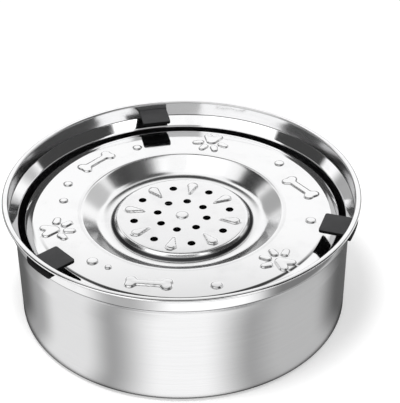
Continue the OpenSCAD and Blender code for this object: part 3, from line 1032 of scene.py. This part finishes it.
view = dict(distance=900.0, tilt=55.66, turn=-11.15, roll=-0.4, aside=12.18, below=8.25, lens=120.01,
            sensor=36.0, seeTo=20.0)
turnBack = Matrix.Rotation(np.radians(view["turn"]), 3, "Z")
aimed = turnBack @ Matrix.Rotation(np.radians(view["tilt"]), 3, "X")
eye = bpy.data.objects.new("eye", bpy.data.cameras.new("eye"))
scene.collection.objects.link(eye)
offset = Vector((view["aside"], -view["below"], view["distance"])) * mm
eye.location = Vector((0, 0, bowlHigh * mm)) + aimed @ offset
eye.rotation_euler = (aimed @ Matrix.Rotation(np.radians(view["roll"]), 3, "Z")).to_euler()
eye.data.sensor_width = view["sensor"]
eye.data.lens = view["lens"]
eye.data.clip_end = view["seeTo"]
scene.camera = eye


# studio helpers

def mirroredRays(desk, rays):
    # 1 for rays that metal mirrors or glass lets through
    return desk.math("MAXIMUM", rays["Is Glossy Ray"], rays["Is Transmission Ray"])


def turnedWithCamera(desk, where):
    # a place or direction seen from the camera's side: its axes, and its azimuth in degrees, + to the right
    spin = desk.add("ShaderNodeVectorRotate", rotation_type="Z_AXIS")
    desk.wire(where, spin.inputs["Vector"])
    spin.inputs["Angle"].default_value = np.radians(-view["turn"])
    axes = desk.add("ShaderNodeSeparateXYZ")
    desk.wire(spin.outputs["Vector"], axes.inputs[0])
    towards = desk.math("MULTIPLY", axes.outputs["Y"], -1.0)
    azimuth = desk.math("DEGREES", desk.math("ARCTAN2", axes.outputs["X"], towards))
    return axes.outputs, azimuth


# floor: pale and matte, shown white wherever no shadow falls

floorLook = dict(reach=3.0, tone=0.80, mist=0.01, mistScale=3.0, rough=0.9, lift=0.45)
corner = floorLook["reach"] / mm
floorCorners = corner * np.array([[-1, -1, 0], [1, -1, 0], [1, 1, 0], [-1, 1, 0]])
floor = meshObject("floor", floorCorners, np.array([[0, 1, 2, 3]]))
floorMat, desk, sockets = newMaterial("paleFloor", Roughness=floorLook["rough"], Specular_IOR_Level=0.0,
                                      Emission_Color=(1, 1, 1, 1))
mistTone = floorLook["tone"] + floorLook["mist"]
mist = desk.noise(desk.objectPlace(), floorLook["mistScale"])
desk.wire(desk.tint(mist, cool(floorLook["tone"], floorLook["tone"]), cool(mistTone, mistTone)),
          sockets["Base Color"])
rays = desk.add("ShaderNodeLightPath").outputs
seen = desk.math("MAXIMUM", rays["Is Camera Ray"], mirroredRays(desk, rays))
desk.wire(desk.math("MULTIPLY", seen, floorLook["lift"]), sockets["Emission Strength"])
floor.data.materials.append(floorMat)


# studio dome: white, with brighter, grey and black flags that the steel mirrors; turned with the camera

# each flag: azimuth centre and half width from the camera's side, fade, elevation from and to, fade, level
# each fan: turn about the point fanFrom behind the axis, half width, fade, level
dome = dict(
    white=1.04,
    fill=0.44,
    flags=((0, 181, 1, -20, 4, 8, 0.34), (-48, 26, 4, 36, 76, 6, 1.50), (43, 12, 4, 44, 66, 6, 1.60),
           (128, 8, 8, 20, 36, 6, 0.55), (-136, 8, 8, 0, 28, 6, 0.40), (180, 20, 10, 46, 66, 11, 0.05),
           (84, 27, 3, 14, 57, 5, 0.055), (100, 26, 36, 60, 78, 8, 0.08), (-93, 17, 3, 14, 46, 4, 0.055),
           (-115, 13, 4, 37, 59, 4, 0.04), (9.5, 21, 3, 5, 40, 3, 0.40)),
    arcTop=62.0,
    arcLean=43.0,
    arcHalf=5.0,
    arcFade=4.0,
    arcLevel=0.04,
    arcReach=34,
    arcEnds=6,
    fanFrom=0.829,
    fanBase=0.60,
    fans=((53, 22, 2, 0.06), (24.5, 6, 1.5, 1.10), (11, 5, 1.5, 0.40), (0, 6.5, 1.5, 0.52),
          (-24, 16.5, 1.5, 1.10), (-52.5, 11.5, 3, 0.07)),
    fanDepth=2.5,
)
world = bpy.data.worlds.new("studio")
scene.world = world
world.use_nodes = True
world.node_tree.nodes.clear()
desk = NodeDesk(world.node_tree)
axes, azimuth = turnedWithCamera(desk, desk.add("ShaderNodeTexCoord").outputs["Generated"])
rise = desk.math("DEGREES", desk.math("ARCSINE", axes["Z"]))
level = dome["white"]
for centre, half, fade, low, high, riseFade, tone in dome["flags"]:
    mask = desk.math("MULTIPLY", desk.arc(azimuth, centre, half, fade),
                     desk.window(rise, (low + high) / 2, (high - low) / 2, riseFade))
    level = desk.blend(mask, level, tone)
# a dark arc high on the camera's side that leans down to the horizon at both ends, for the plateau's flank
leaning = desk.math("ADD", rise, desk.math("MULTIPLY", axes["Y"], dome["arcLean"]))
arcFoot = dome["arcTop"] - dome["arcLean"] * float(np.cos(np.radians(dome["arcTop"])))
arcMask = desk.math("MULTIPLY", desk.window(leaning, arcFoot, dome["arcHalf"], dome["arcFade"]),
                    desk.arc(azimuth, 0, dome["arcReach"], dome["arcEnds"]))
level = desk.blend(arcMask, level, dome["arcLevel"])
# what the collar shows of the dome by way of the plate: fans of directions, each an upright strip there
behind = desk.math("SUBTRACT", dome["fanFrom"], axes["Y"])
fanTurn = desk.math("DEGREES", desk.math("ARCTAN2", axes["X"], behind))
second = dome["fanBase"]
for centre, half, fade, tone in dome["fans"]:
    second = desk.blend(desk.arc(fanTurn, centre, half, fade), second, tone)
# here a ray mirrored once has depth 2, and one mirrored twice depth 3
rays = desk.add("ShaderNodeLightPath").outputs
twice = desk.math("GREATER_THAN", rays["Ray Depth"], dome["fanDepth"])
strength = desk.blend(mirroredRays(desk, rays), dome["fill"], desk.blend(twice, level, second))
strength = desk.blend(rays["Is Camera Ray"], strength, 1.0)
sky = desk.add("ShaderNodeBackground")
sky.inputs["Color"].default_value = (1, 1, 1, 1)
desk.wire(strength, sky.inputs["Strength"])
desk.wire(sky.outputs[0], desk.add("ShaderNodeOutputWorld").inputs["Surface"])


# light tent round the wall: a low card that only mirrors see, lit in soft upright strips

# each strip: azimuth centre on the wall from the camera's side, half width, fade, level
tent = dict(
    radius=130.0,
    wall=112.0,
    high=84.0,
    lift=0.4,
    inwards=8.0,
    outwards=6.0,
    base=0.40,
    strips=((0, 6, 18, 1.08), (-40, 6, 11, 0.87), (41, 7, 12, 0.55), (-80, 8, 15, 0.12), (86, 10, 24, 0.12),
            (130, 14, 14, 0.8), (180, 8, 14, 0.95), (-130, 14, 14, 0.8)),
    collarFrom=62.0,
    collarFade=2.0,
    collarBase=0.45,
    collarStrips=((8, 8, 16, 1.12), (-37, 5, 12, 0.95), (43, 11, 9, 0.20), (67, 8, 7, 1.0),
                  (-75, 12, 14, 0.2), (130, 14, 14, 0.8), (180, 8, 14, 0.95), (-130, 14, 14, 0.8)),
    sideMost=88.0,
    footFrom=2.2,
    footTo=4.2,
    footLevel=0.14,
    columns=240,
)


def tentTurn(a, d):
    # a ray that leaves the wall at turn a meets the card a little further round
    c = d["wall"] * np.cos(a)
    run = np.sqrt(c * c + d["radius"] ** 2 - d["wall"] ** 2) - c
    return a + np.arcsin(run * np.sin(a) / d["radius"])


def stripLevel(desk, azimuth, base, strips, d):
    # strips laid over one another on a plain base; those in front are moved to where the wall mirrors them
    level = base
    for centre, half, fade, tone in strips:
        if abs(centre) < 90:
            ends = np.clip([centre - half - fade, centre + half + fade], -d["sideMost"], d["sideMost"])
            low, high = np.degrees(tentTurn(np.radians(ends), d))
            share = (high - low) / 2 / (half + fade)
            centre = float(low + high) / 2
            half = float(half * share)
            fade = float(fade * share)
        level = desk.blend(desk.arc(azimuth, centre, half, fade), level, tone)
    return level


def tentStrips(d):
    mat = bpy.data.materials.new("tentStrips")
    mat.use_nodes = True
    mat.node_tree.nodes.clear()
    desk = NodeDesk(mat.node_tree)
    axes, azimuth = turnedWithCamera(desk, desk.objectPlace())
    # the upper part of the card is only mirrored by the collar, the lower part by the wall
    upper = desk.ease(axes["Z"], (d["collarFrom"] - d["collarFade"]) * mm,
                      (d["collarFrom"] + d["collarFade"]) * mm)
    level = desk.blend(upper, stripLevel(desk, azimuth, d["base"], d["strips"], d),
                       stripLevel(desk, azimuth, d["collarBase"], d["collarStrips"], d))
    # dark close to the foot, where the bowl stands on its own shadow
    across = desk.hypot(axes["X"], axes["Y"])
    foot = desk.ease(across, (d["wall"] + d["footFrom"]) * mm, (d["wall"] + d["footTo"]) * mm,
                     d["footLevel"], 1.0)
    glow = desk.add("ShaderNodeEmission")
    desk.wire(desk.math("MULTIPLY", level, foot), glow.inputs["Strength"])
    desk.wire(glow.outputs[0], desk.add("ShaderNodeOutputMaterial").inputs["Surface"])
    return mat


card = np.array([[tent["wall"] - tent["inwards"], tent["lift"]],
                 [tent["wall"] + tent["outwards"], tent["lift"]],
                 [tent["radius"], tent["lift"]], [tent["radius"], tent["high"]]])
quads = gridQuads(len(card), tent["columns"])
tentCard = meshObject("tentCard", revolve(card, evenTurns(tent["columns"])), quads)
tentCard.data.materials.append(tentStrips(tent))
tentCard.visible_camera = False
tentCard.visible_diffuse = False
tentCard.visible_transmission = False
tentCard.visible_shadow = False


# key lamp from the left, so the soft shadow falls to the right

key = dict(place=(-0.16, -0.16, 1.05), size=0.35, power=6.4)
lamp = bpy.data.objects.new("keyLamp", bpy.data.lights.new("keyLamp", "AREA"))
scene.collection.objects.link(lamp)
lamp.data.shape = "DISK"
lamp.data.size = key["size"]
lamp.data.energy = key["power"]
lamp.location = key["place"]
aim = -np.array(key["place"])
lamp.rotation_euler = (np.arccos(aim[2] / -np.linalg.norm(aim)), 0, np.arctan2(aim[1], aim[0]) - np.pi / 2)
lamp.visible_glossy = False
print("studio set")
